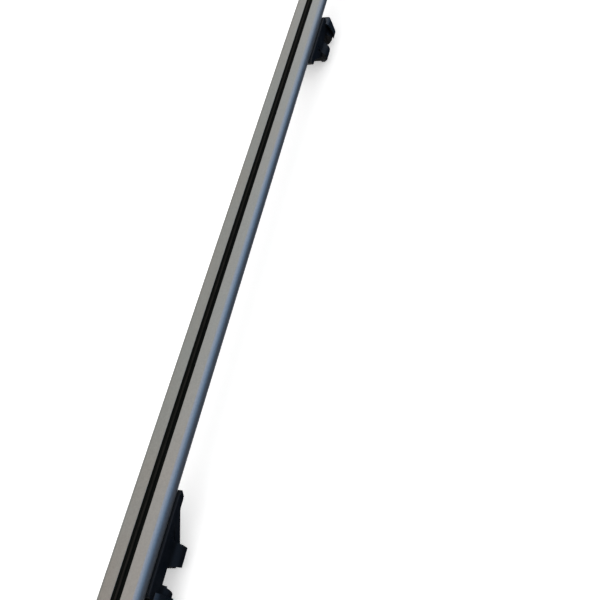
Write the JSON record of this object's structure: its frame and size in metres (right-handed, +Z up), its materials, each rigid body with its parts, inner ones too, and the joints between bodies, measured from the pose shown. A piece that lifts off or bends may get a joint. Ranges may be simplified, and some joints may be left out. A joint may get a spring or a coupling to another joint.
{
  "type": "roof rack crossbar",
  "caption": "Oval aluminium roof rack crossbar with a rubber strip in its top slot, on black plastic feet with sliding jaws that clamp a raised roof rail, and locking covers.",
  "frame": {"origin": "under the middle of the bar, at the height of the feet's soles", "axes": "+X along the bar, +Y across it, +Z up"},
  "size_m": [1.2, 0.0786, 0.0658],
  "materials": {
    "anodised_aluminium": "satin anodised, with fine lines along the extrusion",
    "strip_rubber": "matt black rubber",
    "cap_plastic": "black moulded plastic",
    "foot_plastic": "black glass-filled plastic, satin",
    "jaw_plastic": "black glass-filled plastic, satin",
    "cover_plastic": "black plastic, smoother than the foot",
    "pad_rubber": "matt black rubber",
    "zinc_steel": "zinc-plated steel",
    "bright_steel": "bright steel",
    "dark_metal": "dark plated die-cast metal",
    "lock_chrome": "plated lock barrel"
  },
  "bodies": {
    "bar": {"bar": "anodised_aluminium", "slot_strip": "strip_rubber", "left_end_cap": "cap_plastic", "right_end_cap": "cap_plastic"},
    "left_foot": {"left_foot_housing": "foot_plastic", "left_rail_pad": "pad_rubber", "left_clamp_plate": "zinc_steel", "left_plate_screws": "zinc_steel", "left_captive_nut": "zinc_steel"},
    "left_jaw": {"left_jaw": "jaw_plastic", "left_jaw_pad": "pad_rubber", "left_hinge_pin": "bright_steel", "left_washer": "bright_steel"},
    "left_bolt": {"left_clamp_bolt": "bright_steel"},
    "left_cover": {"left_cover": "cover_plastic", "left_lock_sleeve": "dark_metal"},
    "left_lock": {"left_lock_barrel": "lock_chrome", "left_lock_tongue": "zinc_steel", "left_tongue_screw": "bright_steel"},
    "right_foot": {"right_foot_housing": "foot_plastic", "right_rail_pad": "pad_rubber", "right_clamp_plate": "zinc_steel", "right_plate_screws": "zinc_steel", "right_captive_nut": "zinc_steel"},
    "right_jaw": {"right_jaw": "jaw_plastic", "right_jaw_pad": "pad_rubber", "right_hinge_pin": "bright_steel", "right_washer": "bright_steel"},
    "right_bolt": {"right_clamp_bolt": "bright_steel"},
    "right_cover": {"right_cover": "cover_plastic", "right_lock_sleeve": "dark_metal"},
    "right_lock": {"right_lock_barrel": "lock_chrome", "right_lock_tongue": "zinc_steel", "right_tongue_screw": "bright_steel"}
  },
  "joints": [
    {"name": "left_foot_slide", "type": "slide", "parent": "bar", "child": "left_foot", "axis": [-1, 0, 0], "range_m": [-0.1, 0.1]},
    {"name": "left_jaw_slide", "type": "slide", "parent": "left_foot", "child": "left_jaw", "axis": [-1, 0, 0], "range_m": [0, 0.01]},
    {"name": "left_bolt_turn", "type": "hinge", "parent": "left_jaw", "child": "left_bolt", "pos_m": [-0.46, 0, 0.0353], "axis": [-1, 0, 0], "range_deg": [0, 3600]},
    {"name": "left_cover_hinge", "type": "hinge", "parent": "left_jaw", "child": "left_cover", "pos_m": [-0.4635, 0, 0.0085], "axis": [0, -1, 0], "range_deg": [0, 85]},
    {"name": "left_lock_turn", "type": "hinge", "parent": "left_cover", "child": "left_lock", "pos_m": [-0.4635, 0, 0.0183], "axis": [-1, 0, 0], "range_deg": [0, 90]},
    {"name": "right_foot_slide", "type": "slide", "parent": "bar", "child": "right_foot", "axis": [1, 0, 0], "range_m": [-0.1, 0.1]},
    {"name": "right_jaw_slide", "type": "slide", "parent": "right_foot", "child": "right_jaw", "axis": [1, 0, 0], "range_m": [0, 0.01]},
    {"name": "right_bolt_turn", "type": "hinge", "parent": "right_jaw", "child": "right_bolt", "pos_m": [0.46, 0, 0.0353], "axis": [1, 0, 0], "range_deg": [0, 3600]},
    {"name": "right_cover_hinge", "type": "hinge", "parent": "right_jaw", "child": "right_cover", "pos_m": [0.4635, 0, 0.0085], "axis": [0, 1, 0], "range_deg": [0, 85]},
    {"name": "right_lock_turn", "type": "hinge", "parent": "right_cover", "child": "right_lock", "pos_m": [0.4635, 0, 0.0183], "axis": [1, 0, 0], "range_deg": [0, 90]}
  ],
  "couplings": [
    {"joint": "left_bolt_turn", "follows": "left_jaw_slide", "rad_per_m": 6283.2},
    {"joint": "right_bolt_turn", "follows": "right_jaw_slide", "rad_per_m": 6283.2}
  ]
}
